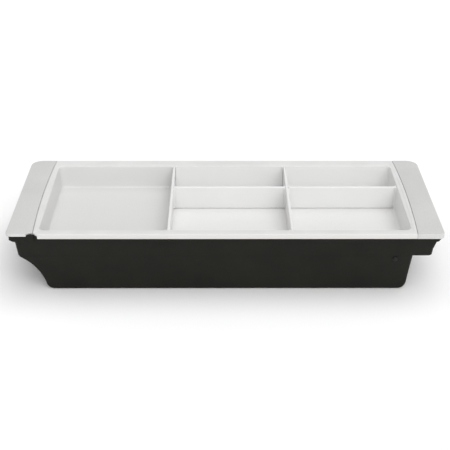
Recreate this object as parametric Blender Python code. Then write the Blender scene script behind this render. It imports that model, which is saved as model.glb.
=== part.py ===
"""Drop-in cash drawer for a bar counter: a moulded tub that hangs by its flange, two end plates
screwed to the flange, and a lift-out money tray with four slot-in dividers.

Frame: metres, +Z up, +X along the length, -Y the long side that faces the server.
The origin is the middle of the base.
"""

from math import asin, cos, pi, radians, sin, sqrt, tan

import bmesh
import bpy
from mathutils import Vector

# ---------------------------------------------------------------- driving dimensions, metres
LENGTH = 0.480              # over the end plates, along X
DEPTH = 0.204               # over the tray's turned-down lips, along Y
HEIGHT = 0.078              # base to the top of the tray's edge beads
BEAD_RISE = 0.0005          # edge beads above the rims and end plates
BEAD_WIDE = 0.003
BEAD_IN = 0.0004            # bead from the tray's edge
BEAD_END = 0.006            # bead's ends from the long edges
CLEARANCE = 0.0003          # between pieces that rest on each other
RUNNING_GAP = 0.0005        # between pieces that slide past each other

PLATE_THICK = 0.003         # end plates and the tray's rim
PLATE_WIDTH = 0.0297        # end plate at its ends; it narrows by EDGE_BOW in the middle
EDGE_BOW = 0.003            # outward bow of the tray's two short edges
BACK_CORNER = 0.014         # plan corner radius, rear corners
FRONT_CORNER = 0.006        # plan corner radius, front corners
LIP_THICK = 0.002           # turned-down lips
LIP_DROP = 0.006            # lips below the rim's top
LIP_ROUND = 0.0015          # outer top edge of the tray's lips

WALL = 0.0028               # tub walls and floor
DRAFT = radians(8.0)        # long walls
END_DRAFT = radians(6.8)    # end walls
FLANGE_SIDE = 0.0025        # flange beyond the long walls
FLANGE_END = 0.0044         # flange beyond the end walls
FLANGE_DEEP = 0.0077        # flange rim, top to underside
FLANGE_EDGE = 0.0006        # broken edges of the flange
LEFT_TIP = (0.0032, 0.0016) # chamfer under the flange's left edge, across and up
RIGHT_TIP = (0.0020, 0.0024)
LEDGE_Z = 0.0465            # step in the right-hand end
LEDGE_WIDE = 0.0205         # depth of that step
LEDGE_ROUND = 0.0008        # outer edge of that step
LEDGE_LINE = 0.0003         # mould line round the tub at the ledge's height
COVE_Z = 0.0445             # top of the left-hand cove
COVE_IN = 0.0272            # how far the left-hand cove comes in
COVE_SAG = 0.0046           # hollow of the cove below its chord
COVE_LIFT = 0.72            # share of the wall by which the cove's inside is raised
END_FOOT = 0.008            # rounding where the end walls meet the base
SIDE_FOOT = 0.003           # rounding where the long walls meet the base
GUSSET_DROP = 0.012         # right-hand gusset below the flange
CHAMFER_DROP = 0.0038       # left-hand chamfer below the flange

TRAY_WALL = 0.0022
POCKET_DEEP = 0.029
TRAY_DRAFT = radians(3.0)   # tray walls other than the front one, which follows the tub
BACK_RIM = 0.017            # tray rim behind the pockets
TRAY_FLOOR_ROUND = 0.003
SUNK = 0.0006               # how far a joined feature reaches into its wall

DIVIDER_THICK = 0.003
DIVIDER_LOW = 0.001         # divider tops below the rim
NOTE_DIVIDER_X = -0.0625
MIDDLE_DIVIDER_X = 0.0740
CROSS_Y = 0.0250
RIB_WIDE = 0.0016           # guide ribs on each side of a divider slot
RIB_DEEP = 0.0020

NOTCH_RADIUS = 0.0045       # notch in the front edge of the left plate
NOTCH_IN = 0.003            # notch centre from the tray
NOTCH_CUT = 0.005           # the tray's cut corner beside that notch
PAST = 0.001                # how far a cutter runs past the face it cuts

SCREW_SHANK = 0.0025
SCREW_HEAD = 0.0046
SCREW_HEAD_TALL = 0.0017
SCREW_SEAT = 0.0040         # flange left above the screw head
SCREW_BITE = 0.0021         # screw in the plate
SCREW_POINT = 0.0008
SCREW_END = 0.032           # outer screws from the tub's long sides

STUD_X = 0.189
STUD_SHANK = 0.0032
STUD_HEAD = 0.0056
STUD_HEAD_TALL = 0.0014
STUD_TAIL = 0.0030          # stud inside the wall, which the push nut grips
NUT_WIDE = 0.0080
NUT_THICK = 0.0010

CORNER_STEPS = 4
TURN_STEPS = 16

# ---------------------------------------------------------------- levels and edges they fix
DECK_TOP = HEIGHT - BEAD_RISE
PLATE_BASE = DECK_TOP - PLATE_THICK
FLANGE_TOP = PLATE_BASE - CLEARANCE
FLANGE_BASE = FLANGE_TOP - FLANGE_DEEP
FLANGE_X = LENGTH / 2 - LIP_THICK - 2 * CLEARANCE
FLANGE_Y = DEPTH / 2 - LIP_THICK - 2 * CLEARANCE
TRAY_FLOOR = DECK_TOP - POCKET_DEEP
TRAY_BASE = TRAY_FLOOR - TRAY_WALL
TRAY_HALF = LENGTH / 2 - PLATE_WIDTH - CLEARANCE
TRAY_CORNER = BACK_CORNER - LIP_THICK - WALL
DIVIDER_TOP = DECK_TOP - DIVIDER_LOW
STUD_Z = TRAY_BASE - NUT_WIDE / 2 - 2 * CLEARANCE


def side_wall(z):
    """Outer face of the long walls, as a distance from the middle."""
    return FLANGE_Y - FLANGE_SIDE - (FLANGE_TOP - z) * tan(DRAFT)


def end_wall(z):
    """Outer face of the upper end walls."""
    return FLANGE_X - FLANGE_END - (FLANGE_TOP - z) * tan(END_DRAFT)


def step_wall(z):
    """Outer face of the right-hand end wall below the ledge."""
    return end_wall(LEDGE_Z) - LEDGE_WIDE - (LEDGE_Z - z) * tan(END_DRAFT)


def cove(z):
    """Outer face of the left-hand cove, a hollow arc from the end wall to the foot."""
    top = Vector((-end_wall(COVE_Z), COVE_Z))
    foot = Vector((top.x + COVE_IN, END_FOOT))
    chord = top - foot
    radius = (chord.length ** 2 / 4 + COVE_SAG ** 2) / (2 * COVE_SAG)
    outward = Vector((-chord.y, chord.x)).normalized()
    centre = (top + foot) / 2 + outward * (radius - COVE_SAG)
    return centre.x + sqrt(max(radius ** 2 - (z - centre.y) ** 2, 0.0))


def foot_inset(z, radius):
    """How far a wall comes in at height z because its foot is rounded."""
    return 0.0 if z >= radius else radius - sqrt(radius ** 2 - (radius - z) ** 2)


BASIN_RIGHT = step_wall(TRAY_BASE) - WALL - 2 * RUNNING_GAP + (DECK_TOP - TRAY_BASE) * tan(TRAY_DRAFT)
BASIN_FRONT = side_wall(FLANGE_TOP) - WALL - 2 * CLEARANCE
BASIN_BACK = DEPTH / 2 - BACK_RIM + TRAY_WALL


def basin(z, inset=0.0):
    """Tray basin at height z as (half length, front, back), each moved in by inset."""
    down = DECK_TOP - z
    half = BASIN_RIGHT - down * tan(TRAY_DRAFT) - inset
    return half, -(BASIN_FRONT - down * tan(DRAFT)) + inset, BASIN_BACK - down * tan(TRAY_DRAFT) - inset


# ---------------------------------------------------------------- mesh helpers
def arc(centre, radius, start, end, steps):
    """Points on an arc, angles in radians, both ends included."""
    turns = [start + (end - start) * i / steps for i in range(steps + 1)]
    return [(centre[0] + radius * cos(a), centre[1] + radius * sin(a)) for a in turns]


def ring(left, right, front, back, radius, z, front_radius=None):
    """Anticlockwise rounded rectangle at height z."""
    near = radius if front_radius is None else front_radius
    corners = [(right, back, 0.0, radius), (left, back, pi / 2, radius),
               (left, front, pi, near), (right, front, 1.5 * pi, near)]
    points = []
    for x, y, turn, radius in corners:
        centre = (x - radius if x > 0 else x + radius, y - radius if y > 0 else y + radius)
        points += arc(centre, radius, turn, turn + pi / 2, CORNER_STEPS)
    return [Vector((x, y, z)) for x, y in points]


def loft(rings):
    """Closed body through rings of equal point count, with its two end rings filled."""
    bm = bmesh.new()
    rows = [[bm.verts.new(point) for point in row] for row in rings]
    count = len(rows[0])
    for low, high in zip(rows, rows[1:]):
        for i in range(count):
            bm.faces.new((low[i], low[(i + 1) % count], high[(i + 1) % count], high[i]))
    bm.faces.new(reversed(rows[0]))
    bm.faces.new(rows[-1])
    bmesh.ops.recalc_face_normals(bm, faces=bm.faces)
    return bm


def prism(outline, along, low, high):
    """Outline of two coordinates extruded along X, Y or Z between two levels."""
    rows = []
    for level in (low, high):
        row = [Vector((a, b, 0.0)) for a, b in outline]
        for point in row:
            point[:] = {"X": (level, point.x, point.y), "Y": (point.x, level, point.y),
                        "Z": (point.x, point.y, level)}[along]
        rows.append(row)
    return loft(rows)


def turned(profile, steps=TURN_STEPS):
    """Body turned about Z from (radius, height) points; the first and last lie on the axis."""
    bm = bmesh.new()
    edges = []
    verts = [bm.verts.new((radius, 0.0, height)) for radius, height in profile]
    for low, high in zip(verts, verts[1:]):
        edges.append(bm.edges.new((low, high)))
    bmesh.ops.spin(bm, geom=verts + edges, axis=(0, 0, 1), cent=(0, 0, 0), angle=2 * pi,
                   steps=steps, use_merge=True)
    bmesh.ops.remove_doubles(bm, verts=bm.verts, dist=1e-6)
    bmesh.ops.recalc_face_normals(bm, faces=bm.faces)
    return bm


def merged(bodies):
    """Several separate bodies in one mesh, for a cutter."""
    whole = bmesh.new()
    for body in bodies:
        mesh = bpy.data.meshes.new("body")
        body.to_mesh(mesh)
        body.free()
        whole.from_mesh(mesh)
        bpy.data.meshes.remove(mesh)
    return whole


def make(name, bm, material=None, origin=(0, 0, 0), smooth=False):
    """Object from a mesh drawn in world coordinates, with its origin where it is asked for."""
    bmesh.ops.translate(bm, verts=bm.verts, vec=-Vector(origin))
    mesh = bpy.data.meshes.new(name)
    bm.to_mesh(mesh)
    bm.free()
    if smooth:
        mesh.shade_smooth()
        mesh.set_sharp_from_angle(angle=radians(35))
    obj = bpy.data.objects.new(name, mesh)
    obj.location = origin
    if material:
        mesh.materials.append(material)
    bpy.context.scene.collection.objects.link(obj)
    return obj


def shape(target, operation, bm):
    """Adds a live Boolean whose tool is a hidden guide object."""
    tool = make(f"guide_{target.name}_{len(target.modifiers)}", bm)
    tool.parent = target
    tool.matrix_parent_inverse = target.matrix_basis.inverted()
    tool.hide_render = True
    tool.display_type = "WIRE"
    modifier = target.modifiers.new(operation.title(), "BOOLEAN")
    modifier.operation = operation
    modifier.solver = "EXACT"
    modifier.object = tool


def finish(name, colour, roughness, metallic=0.0):
    """Material of one colour: linear red, green and blue."""
    material = bpy.data.materials.new(name)
    material.use_nodes = True
    shader = material.node_tree.nodes["Principled BSDF"]
    shader.inputs["Base Color"].default_value = (*colour, 1.0)
    shader.inputs["Roughness"].default_value = roughness
    shader.inputs["Metallic"].default_value = metallic
    return material


# ---------------------------------------------------------------- tub
def tub_ring(z, left, right, inset=0.0):
    """Ring of the tub's wall at height z, every side moved in by inset."""
    side = side_wall(z) - foot_inset(z, SIDE_FOOT) - inset
    inside = LIP_THICK + inset
    return ring(left + inset, right - inset, -side, side, BACK_CORNER - inside, z, FRONT_CORNER - inside)


def flange_ring(z, left, right, inset=0.0):
    """Ring of the flange's edge at height z, with its long sides moved in by inset."""
    side = FLANGE_Y - inset
    inside = LIP_THICK + inset
    return ring(left, right, -side, side, BACK_CORNER - inside, z, FRONT_CORNER - inside)


def outer_left(z):
    if z < END_FOOT:
        return cove(END_FOOT) + foot_inset(z, END_FOOT) + (END_FOOT - z) * tan(END_DRAFT)
    return cove(z) if z < COVE_Z else -end_wall(z)


def outer_right(z):
    return step_wall(z) - foot_inset(z, END_FOOT)


def tub_body():
    """One loft: up the outside, over the flange and down the inside to the floor."""
    foot = [0.0, 0.1, 0.3, 0.6, 1.0]
    cove_rise = [1 / 7, 2 / 7, 3 / 7, 4 / 7, 5 / 7, 6 / 7, 1]
    rings = []
    low_levels = [share * END_FOOT for share in foot]
    low_levels += [END_FOOT + share * (COVE_Z - END_FOOT) for share in cove_rise] + [LEDGE_Z]
    for z in low_levels:
        rings.append(tub_ring(z, outer_left(z), outer_right(z), LEDGE_LINE))
    rings.append(tub_ring(LEDGE_Z, -end_wall(LEDGE_Z), end_wall(LEDGE_Z) - LEDGE_ROUND))
    z = LEDGE_Z + LEDGE_ROUND
    rings.append(tub_ring(z, -end_wall(z), end_wall(z)))
    gusset_low = FLANGE_BASE - GUSSET_DROP
    chamfer_low = FLANGE_BASE - CHAMFER_DROP
    rings.append(tub_ring(gusset_low, -end_wall(gusset_low), end_wall(gusset_low)))
    left, right = (FLANGE_X - wide - FLANGE_EDGE for wide, tall in (LEFT_TIP, RIGHT_TIP))
    share = (chamfer_low - gusset_low) / GUSSET_DROP
    gusset_x = end_wall(gusset_low) + share * (right - end_wall(gusset_low))
    rings.append(tub_ring(chamfer_low, -end_wall(chamfer_low), gusset_x))
    rings.append(tub_ring(FLANGE_BASE, -left, right))
    for rise in (0.0, FLANGE_EDGE, LEFT_TIP[1], RIGHT_TIP[1]):
        left, right = (FLANGE_X - wide * max(1 - rise / tall, 0) for wide, tall in (LEFT_TIP, RIGHT_TIP))
        rings.append(flange_ring(FLANGE_BASE + rise, -left, right, 0.0 if rise else FLANGE_EDGE))
    rings.append(flange_ring(FLANGE_TOP - FLANGE_EDGE, -FLANGE_X, FLANGE_X))
    rings.append(flange_ring(FLANGE_TOP, -FLANGE_X + FLANGE_EDGE, FLANGE_X - FLANGE_EDGE, FLANGE_EDGE))
    inner_ledge = LEDGE_Z + WALL
    for z in (FLANGE_TOP, inner_ledge + LEDGE_ROUND):
        rings.append(tub_ring(z, -end_wall(z), end_wall(z), WALL))
    z = inner_ledge
    low_inset = WALL + LEDGE_LINE
    rings.append(tub_ring(z, -end_wall(z), end_wall(z) - LEDGE_ROUND, WALL))
    rings.append(tub_ring(z, -end_wall(z), step_wall(z), low_inset))
    lift = WALL * COVE_LIFT
    for share in reversed(cove_rise[:-1]):
        z = END_FOOT + share * (COVE_Z - END_FOOT) + lift
        rings.append(tub_ring(z, cove(z - lift) + lift - WALL, outer_right(z), low_inset))
    z = END_FOOT + WALL
    rings.append(tub_ring(z, cove(END_FOOT), outer_right(z), low_inset))
    z = WALL
    rings.append(tub_ring(z, cove(END_FOOT) + END_FOOT / 2, step_wall(z) - END_FOOT / 2, low_inset))
    return loft(rings)


def screw_places():
    """Screw centres on the end flanges: outer pair and middle, right end first."""
    x = (FLANGE_X + end_wall(FLANGE_TOP) - WALL) / 2
    y = FLANGE_Y - SCREW_END
    return [(side * x, place) for side in (1, -1) for place in (-y, 0.0, y)]


def cylinder(x, y, radius, low, high, steps=TURN_STEPS):
    return prism(arc((x, y), radius, 0, 2 * pi * (1 - 1 / steps), steps - 1), "Z", low, high)


def wall_hole(side):
    """Bore square to the long wall for a stud; side is -1 at the front and 1 at the rear."""
    radius = STUD_SHANK / 2 + CLEARANCE
    bore = turned([(0, -WALL), (radius, -WALL), (radius, 2 * WALL), (0, 2 * WALL)])
    place_on_wall(bore, side)
    return bore


def stud_place(side):
    return Vector((STUD_X, side * (side_wall(STUD_Z) - LEDGE_LINE), STUD_Z))


def place_on_wall(bm, side):
    """Turns a body drawn about Z, inside at +Z and outside at -Z, square into the long wall."""
    inward = Vector((0, -side * cos(DRAFT), sin(DRAFT)))
    turn = Vector((0, 0, 1)).rotation_difference(inward)
    bmesh.ops.rotate(bm, verts=bm.verts, cent=(0, 0, 0), matrix=turn.to_matrix())
    bmesh.ops.translate(bm, verts=bm.verts, vec=stud_place(side))


def build_tub(material):
    tub = make("drawer_tub", tub_body(), material)
    seat = FLANGE_TOP - SCREW_SEAT
    holes = []
    for x, y in screw_places():
        low = FLANGE_BASE - GUSSET_DROP
        neck = SCREW_SHANK / 2 + CLEARANCE
        wide = SCREW_HEAD / 2 + CLEARANCE
        profile = [(0, low), (wide, low), (wide, seat), (neck, seat), (neck, FLANGE_TOP + PAST),
                   (0, FLANGE_TOP + PAST)]
        hole = turned(profile)
        bmesh.ops.translate(hole, verts=hole.verts, vec=(x, y, 0))
        holes.append(hole)
    holes += [wall_hole(side) for side in (-1, 1)]
    shape(tub, "DIFFERENCE", merged(holes))
    radius = NOTCH_RADIUS - RUNNING_GAP
    low = asin(RUNNING_GAP / radius)
    key = arc((-TRAY_HALF - NOTCH_IN, -DEPTH / 2), radius, low, pi - low, 10)
    shape(tub, "UNION", prism(key, "Z", FLANGE_BASE + PAST, PLATE_BASE + PLATE_THICK / 2))
    return tub


# ---------------------------------------------------------------- end plates
def plate_outline(side):
    """Plan of an end plate: straight outer edge, round outer corners, hollow inner edge."""
    x, y = LENGTH / 2, DEPTH / 2
    points = arc((x - FRONT_CORNER, -y + FRONT_CORNER), FRONT_CORNER, -pi / 2, 0, CORNER_STEPS)
    points += arc((x - BACK_CORNER, y - BACK_CORNER), BACK_CORNER, 0, pi / 2, CORNER_STEPS)
    points += bowed_edge(LENGTH / 2 - PLATE_WIDTH, y, 8)
    points = [(side * px, py) for px, py in points]
    return points if side > 0 else points[::-1]


def bowed_edge(x, half, steps):
    """Points from rear to front on an arc that passes x at both ends and bows out by EDGE_BOW."""
    radius = (half ** 2 + EDGE_BOW ** 2) / (2 * EDGE_BOW)
    reach = asin(half / radius)
    return arc((x + EDGE_BOW - radius, 0.0), radius, reach, -reach, steps)


def build_plate(name, side, material):
    origin = (side * (LENGTH - PLATE_WIDTH) / 2, 0, PLATE_BASE)
    plate = make(name, prism(plate_outline(side), "Z", PLATE_BASE, DECK_TOP), material, origin)
    if side > 0:
        low = DECK_TOP - LIP_DROP
        skirt = prism(plate_outline(side), "Z", low, PLATE_BASE + PAST)
        shape(plate, "UNION", skirt)
        x, y = LENGTH / 2 - LIP_THICK, DEPTH / 2 - LIP_THICK
        core = [ring(x / 2, x, -y, y, BACK_CORNER - LIP_THICK, z, FRONT_CORNER - LIP_THICK)
                for z in (low - PAST, PLATE_BASE)]
        shape(plate, "DIFFERENCE", loft(core))
    holes = []
    for x, y in screw_places():
        if x * side > 0:
            holes.append(cylinder(x, y, SCREW_SHANK / 2 + CLEARANCE, PLATE_BASE - PAST,
                                  PLATE_BASE + SCREW_BITE + CLEARANCE))
    if side < 0:
        x = -TRAY_HALF - NOTCH_IN
        holes.append(cylinder(x, -DEPTH / 2, NOTCH_RADIUS, PLATE_BASE - PAST, DECK_TOP + PAST))
    shape(plate, "DIFFERENCE", merged(holes))
    return plate


def build_screws(material):
    for number, (x, y) in enumerate(screw_places()):
        side = "right" if x > 0 else "left"
        place = ("front", "middle", "rear")[number % 3]
        top = FLANGE_TOP - SCREW_SEAT - CLEARANCE
        low = top - SCREW_HEAD_TALL
        tip = PLATE_BASE + SCREW_BITE
        profile = [(0, low), (SCREW_HEAD * 0.34, low), (SCREW_HEAD / 2, low + SCREW_HEAD_TALL / 2),
                   (SCREW_HEAD / 2, top), (SCREW_SHANK / 2, top), (SCREW_SHANK / 2, tip - SCREW_POINT),
                   (SCREW_SHANK / 4, tip), (0, tip)]
        screw = turned(profile)
        bmesh.ops.translate(screw, verts=screw.verts, vec=(x, y, 0))
        make(f"{side}_plate_screw_{place}", screw, material, (x, y, low), smooth=True)


# ---------------------------------------------------------------- wall studs
def build_studs(steel, spring_steel):
    for side, name in ((-1, "front"), (1, "rear")):
        shank = STUD_SHANK / 2
        seat, tail = -CLEARANCE, WALL + STUD_TAIL
        head = seat - STUD_HEAD_TALL
        profile = [(0, head), (STUD_HEAD * 0.3, head), (STUD_HEAD / 2, seat - STUD_HEAD_TALL * 0.4),
                   (STUD_HEAD / 2, seat), (shank, seat), (shank, tail), (0, tail)]
        stud = turned(profile)
        place_on_wall(stud, side)
        make(f"{name}_wall_stud", stud, steel, stud_place(side), smooth=True)
        bore, rim = shank + CLEARANCE, NUT_WIDE / 2
        low, high = WALL + CLEARANCE, WALL + CLEARANCE + NUT_THICK
        nut = washer(bore, rim, low, high)
        place_on_wall(nut, side)
        make(f"{name}_push_nut", nut, spring_steel, stud_place(side), smooth=True)


def washer(bore, rim, low, high, steps=TURN_STEPS):
    """Flat ring about Z."""
    bm = bmesh.new()
    profile = [(bore, low), (rim, low), (rim, high), (bore, high)]
    verts = [bm.verts.new((radius, 0, height)) for radius, height in profile]
    edges = [bm.edges.new((verts[i], verts[(i + 1) % 4])) for i in range(4)]
    bmesh.ops.spin(bm, geom=verts + edges, axis=(0, 0, 1), cent=(0, 0, 0), angle=2 * pi,
                   steps=steps, use_merge=True)
    bmesh.ops.remove_doubles(bm, verts=bm.verts, dist=1e-6)
    bmesh.ops.recalc_face_normals(bm, faces=bm.faces)
    return bm


# ---------------------------------------------------------------- money tray
def tray_outline():
    """Plan of the tray: bowed short edges, straight long edges, cut front-left corner."""
    y = DEPTH / 2
    right = bowed_edge(TRAY_HALF, y, 8)[::-1]
    left = [(-px, py) for px, py in bowed_edge(TRAY_HALF, y, 8)]
    bow = EDGE_BOW * (1 - (1 - NOTCH_CUT / y) ** 2)
    left = left[:-1] + [(-TRAY_HALF - bow, -y + NOTCH_CUT), (-TRAY_HALF + NOTCH_CUT, -y)]
    return right + left


def basin_ring(z, inset=0.0, radius=TRAY_CORNER):
    half, front, back = basin(z, inset)
    return ring(-half, half, front, back, radius, z)


def build_tray(material):
    y, top = DEPTH / 2, DECK_TOP
    low = top - LIP_DROP
    channel = [(-y + LIP_THICK, low), (-y + LIP_THICK, PLATE_BASE), (y - LIP_THICK, PLATE_BASE),
               (y - LIP_THICK, low), (y, low)]
    channel += arc((y - LIP_ROUND, top - LIP_ROUND), LIP_ROUND, 0, pi / 2, 3)
    channel += arc((-y + LIP_ROUND, top - LIP_ROUND), LIP_ROUND, pi / 2, pi, 3)
    channel.append((-y, low))
    reach = TRAY_HALF + 2 * EDGE_BOW
    origin = (0, 0, PLATE_BASE)
    tray = make("money_tray", prism(channel, "X", -reach, reach), material, origin)
    shape(tray, "INTERSECT", prism(tray_outline(), "Z", low - PAST, top + PAST))
    bowl = [basin_ring(TRAY_BASE, TRAY_FLOOR_ROUND), basin_ring(TRAY_BASE + TRAY_FLOOR_ROUND),
            basin_ring(PLATE_BASE + PLATE_THICK / 2)]
    shape(tray, "UNION", loft(bowl))
    hollow = [basin_ring(TRAY_FLOOR, TRAY_WALL + TRAY_FLOOR_ROUND, TRAY_CORNER - TRAY_WALL),
              basin_ring(TRAY_FLOOR + TRAY_FLOOR_ROUND, TRAY_WALL, TRAY_CORNER - TRAY_WALL),
              basin_ring(top + PAST, TRAY_WALL, TRAY_CORNER - TRAY_WALL)]
    shape(tray, "DIFFERENCE", loft(hollow))
    shape(tray, "UNION", merged(tray_ribs() + edge_beads()))
    return tray


def edge_beads():
    """Raised beads along the tray's two short edges."""
    half = DEPTH / 2 - BEAD_END
    beads = []
    for side in (1, -1):
        outer = bowed_edge(TRAY_HALF - BEAD_IN, half, 8)
        inner = bowed_edge(TRAY_HALF - BEAD_IN - BEAD_WIDE, half, 8)[::-1]
        outline = [(side * px, py) for px, py in outer + inner]
        if side > 0:
            outline.reverse()
        beads.append(prism(outline, "Z", DECK_TOP - PAST, HEIGHT))
    return beads


def rib_pair(along, place, wall, inward):
    """Two vertical ribs on a sloping wall, one on each side of the divider slot at place."""
    low, high = TRAY_FLOOR - SUNK, DIVIDER_TOP
    foot, head = basin(low, TRAY_WALL)[wall], basin(high, TRAY_WALL)[wall]
    outline = [(foot - inward * SUNK, low), (foot + inward * RIB_DEEP, low),
               (head + inward * RIB_DEEP, high), (head - inward * SUNK, high)]
    gap = DIVIDER_THICK / 2 + CLEARANCE
    return [prism(outline, along, place - gap - RIB_WIDE, place - gap),
            prism(outline, along, place + gap, place + gap + RIB_WIDE)]


def tray_ribs():
    """Rib pairs for the two long dividers, front and back, and for the right cross divider."""
    right, front, back = range(3)
    ribs = []
    for x in (NOTE_DIVIDER_X, MIDDLE_DIVIDER_X):
        ribs += rib_pair("X", x, front, 1) + rib_pair("X", x, back, -1)
    return ribs + rib_pair("Y", CROSS_Y, right, -1)


# ---------------------------------------------------------------- dividers
def block(x0, x1, y0, y1, z0, z1):
    return prism([(x0, y0), (x1, y0), (x1, y1), (x0, y1)], "Z", z0, z1)


def long_divider(name, x, faces, material):
    """Divider from the front wall to the back wall; faces lists the sides with cross slots."""
    clear = TRAY_WALL + RUNNING_GAP
    low, bend = TRAY_FLOOR + CLEARANCE, TRAY_FLOOR + TRAY_FLOOR_ROUND + CLEARANCE
    foot = TRAY_FLOOR_ROUND
    outline = [(basin(low, clear + foot)[1], low), (basin(low, clear + foot)[2], low),
               (basin(bend, clear)[2], bend), (basin(DIVIDER_TOP, clear)[2], DIVIDER_TOP),
               (basin(DIVIDER_TOP, clear)[1], DIVIDER_TOP), (basin(bend, clear)[1], bend)]
    half = DIVIDER_THICK / 2
    divider = make(name, prism(outline, "X", x - half, x + half), material, (x, CROSS_Y, low))
    ribs = []
    gap = DIVIDER_THICK / 2 + CLEARANCE
    foot, head = low + RUNNING_GAP, DIVIDER_TOP - RUNNING_GAP
    for face in faces:
        inner, outer = sorted((x + face * (half - SUNK), x + face * (half + RIB_DEEP)))
        ribs.append(block(inner, outer, CROSS_Y - gap - RIB_WIDE, CROSS_Y - gap, foot, head))
        ribs.append(block(inner, outer, CROSS_Y + gap, CROSS_Y + gap + RIB_WIDE, foot, head))
    shape(divider, "UNION", merged(ribs))


def cross_divider(name, left, right, material):
    """Divider across a pair of pockets; right is None where it ends at the tray's end wall."""
    low, bend = TRAY_FLOOR + CLEARANCE, TRAY_FLOOR + TRAY_FLOOR_ROUND + CLEARANCE
    start = left + DIVIDER_THICK / 2 + RUNNING_GAP
    if right is None:
        clear = TRAY_WALL + RUNNING_GAP
        edge = [(basin(low, clear + TRAY_FLOOR_ROUND)[0], low), (basin(bend, clear)[0], bend),
                (basin(DIVIDER_TOP, clear)[0], DIVIDER_TOP)]
    else:
        stop = right - DIVIDER_THICK / 2 - RUNNING_GAP
        edge = [(stop, low), (stop, DIVIDER_TOP)]
    outline = [(start, low)] + edge + [(start, DIVIDER_TOP)]
    half = DIVIDER_THICK / 2
    middle = (start + edge[-1][0]) / 2
    make(name, prism(outline, "Y", CROSS_Y - half, CROSS_Y + half), material, (middle, CROSS_Y, low))


# ---------------------------------------------------------------- assembly
def build():
    for obj in list(bpy.data.objects):
        bpy.data.objects.remove(obj, do_unlink=True)
    black = finish("tub_black", (0.020, 0.021, 0.017), 0.55)
    grey = finish("plate_grey", (0.62, 0.62, 0.61), 0.45)
    pale = finish("tray_grey", (0.74, 0.74, 0.73), 0.35)
    divider_pale = finish("divider_grey", (0.78, 0.78, 0.77), 0.35)
    steel = finish("screw_steel", (0.55, 0.55, 0.54), 0.35, 1.0)
    dark = finish("stud_black", (0.012, 0.012, 0.012), 0.4, 0.6)
    build_tub(black)
    build_plate("left_end_plate", -1, grey)
    build_plate("right_end_plate", 1, grey)
    build_screws(steel)
    build_studs(dark, steel)
    build_tray(pale)
    long_divider("note_divider", NOTE_DIVIDER_X, (1,), divider_pale)
    long_divider("middle_divider", MIDDLE_DIVIDER_X, (1, -1), divider_pale)
    cross_divider("centre_cross_divider", NOTE_DIVIDER_X, MIDDLE_DIVIDER_X, divider_pale)
    cross_divider("right_cross_divider", MIDDLE_DIVIDER_X, None, divider_pale)


build()
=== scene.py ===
from math import asin, cos, pi, radians, sin, sqrt, tan

import bmesh
import bpy
from mathutils import Matrix, Vector


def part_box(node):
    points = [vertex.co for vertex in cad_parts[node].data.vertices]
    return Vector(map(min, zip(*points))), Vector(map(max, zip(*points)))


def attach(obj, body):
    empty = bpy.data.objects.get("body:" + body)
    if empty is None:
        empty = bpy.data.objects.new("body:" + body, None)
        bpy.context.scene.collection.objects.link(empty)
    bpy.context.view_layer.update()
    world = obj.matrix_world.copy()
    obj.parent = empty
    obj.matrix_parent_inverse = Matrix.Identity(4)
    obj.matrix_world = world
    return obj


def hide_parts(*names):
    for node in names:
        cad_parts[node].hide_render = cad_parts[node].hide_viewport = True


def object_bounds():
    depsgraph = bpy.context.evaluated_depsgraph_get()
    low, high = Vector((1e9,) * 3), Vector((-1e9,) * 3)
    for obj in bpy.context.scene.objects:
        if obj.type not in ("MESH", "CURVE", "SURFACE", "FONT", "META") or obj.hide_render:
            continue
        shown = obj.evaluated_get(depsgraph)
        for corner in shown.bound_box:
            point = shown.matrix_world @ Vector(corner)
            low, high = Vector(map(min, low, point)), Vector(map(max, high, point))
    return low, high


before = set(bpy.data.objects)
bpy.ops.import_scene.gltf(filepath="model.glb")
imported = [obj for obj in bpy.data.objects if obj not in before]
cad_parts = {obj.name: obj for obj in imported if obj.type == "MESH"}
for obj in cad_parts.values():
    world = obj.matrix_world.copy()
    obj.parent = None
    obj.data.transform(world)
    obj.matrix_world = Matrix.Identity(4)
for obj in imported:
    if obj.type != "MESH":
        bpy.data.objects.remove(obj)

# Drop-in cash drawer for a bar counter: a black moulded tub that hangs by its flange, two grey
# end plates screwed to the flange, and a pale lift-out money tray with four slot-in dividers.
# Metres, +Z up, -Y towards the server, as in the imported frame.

cad_low, cad_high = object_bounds()

# ------------------------------------------------------------------ camera
# A long lens above the counter, square to the drawer's front, so that the pockets and the
# front wall both show.
EYE = Vector((-0.00534, -1.16919, 0.62018))
LOOK_DOWN = radians(26.496)
LOOK_RIGHT = radians(0.299)
TILT = radians(0.1055)
LENS_MM = 88.0
FRAMING_SHIFT = 0.0011

ahead = Vector((sin(LOOK_RIGHT) * cos(LOOK_DOWN), cos(LOOK_RIGHT) * cos(LOOK_DOWN), -sin(LOOK_DOWN)))
level = Vector((cos(LOOK_RIGHT), -sin(LOOK_RIGHT), 0.0))
upright = level.cross(ahead)
right = cos(TILT) * level + sin(TILT) * upright
above = cos(TILT) * upright - sin(TILT) * level
camera = bpy.data.objects.new("counter_camera", bpy.data.cameras.new("counter_camera"))
camera.matrix_world = Matrix((right, above, -ahead)).transposed().to_4x4()
camera.location = EYE
camera.data.lens = LENS_MM
camera.data.sensor_width = 36.0
camera.data.shift_x = -FRAMING_SHIFT
camera.data.shift_y = FRAMING_SHIFT
bpy.context.scene.collection.objects.link(camera)
bpy.context.scene.camera = camera

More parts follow.
